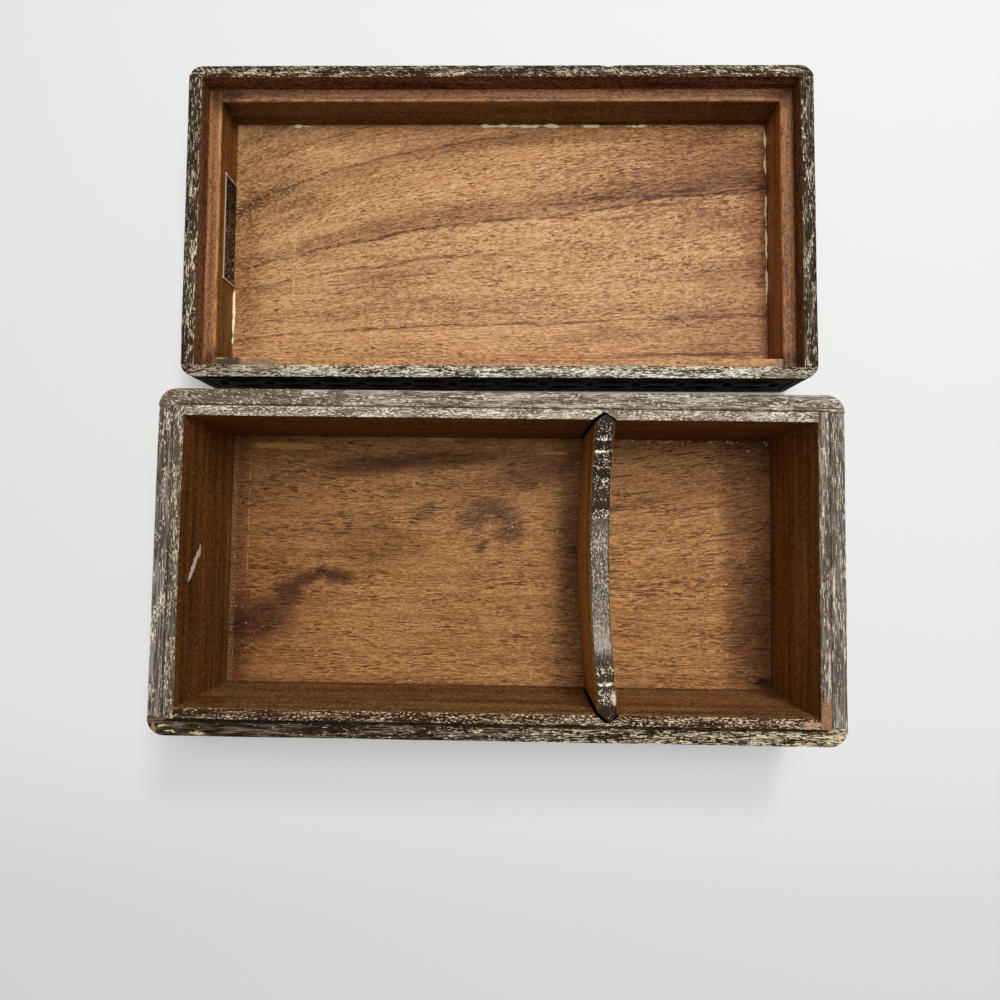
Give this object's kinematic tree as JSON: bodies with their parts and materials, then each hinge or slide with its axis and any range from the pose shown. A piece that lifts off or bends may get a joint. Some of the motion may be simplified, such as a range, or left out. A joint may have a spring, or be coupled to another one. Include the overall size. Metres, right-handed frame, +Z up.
{
  "type": "wooden jewelry box",
  "caption": "Rectangular carved wooden jewelry box with double walls, a lift-out divider and a lift-off lid lying upside down behind the tray.",
  "frame": {"origin": "centre of the tray's underside, on the table", "axes": "+Z up, +X along the tray's length to the right, +Y towards the lid that lies upside down behind the tray"},
  "size_m": [0.3026, 0.3148, 0.0645],
  "materials": {
    "tray_paint": "charcoal brown paint, rubbed back and dry-brushed with cream along the grain",
    "lid_paint": "charcoal brown paint, rubbed back and dry-brushed with cream along the grain",
    "tray_liner_wood": "plain reddish brown hardwood, oiled, its top edge painted like the rim",
    "tray_floor_wood": "plain brown hardwood with a few dark stains",
    "divider_wood": "plain hardwood, its top edge painted like the rim",
    "lid_panel_wood": "orange-tan open-pored hardwood inside, painted and rubbed outside",
    "lid_liner_wood": "plain tan hardwood, sanded, with grey smudges at the corners",
    "label_black": "bare black foil with a thin silver border"
  },
  "bodies": {
    "tray": {"tray_front_board": "tray_paint", "tray_back_board_long": "tray_paint", "tray_back_board_short": "tray_paint", "tray_left_board": "tray_paint", "tray_right_board": "tray_paint", "tray_front_liner": "tray_liner_wood", "tray_back_liner": "tray_liner_wood", "tray_left_liner": "tray_liner_wood", "tray_right_liner": "tray_liner_wood", "tray_bottom": "tray_floor_wood"},
    "divider": {"divider": "divider_wood"},
    "lid": {"lid_top_board": "lid_panel_wood", "lid_front_board": "lid_paint", "lid_back_board": "lid_paint", "lid_left_board": "lid_paint", "lid_right_board": "lid_paint", "lid_front_liner": "lid_liner_wood", "lid_back_liner": "lid_liner_wood", "lid_left_liner": "lid_liner_wood", "lid_right_liner": "lid_liner_wood", "lid_label": "label_black"}
  },
  "joints": [
    {"name": "lid_lift", "type": "slide", "parent": "tray", "child": "lid", "axis": [0, 0, 1], "range_m": [0, 0.1]},
    {"name": "divider_lift", "type": "slide", "parent": "tray", "child": "divider", "axis": [0, 0, 1], "range_m": [0, 0.065]}
  ]
}
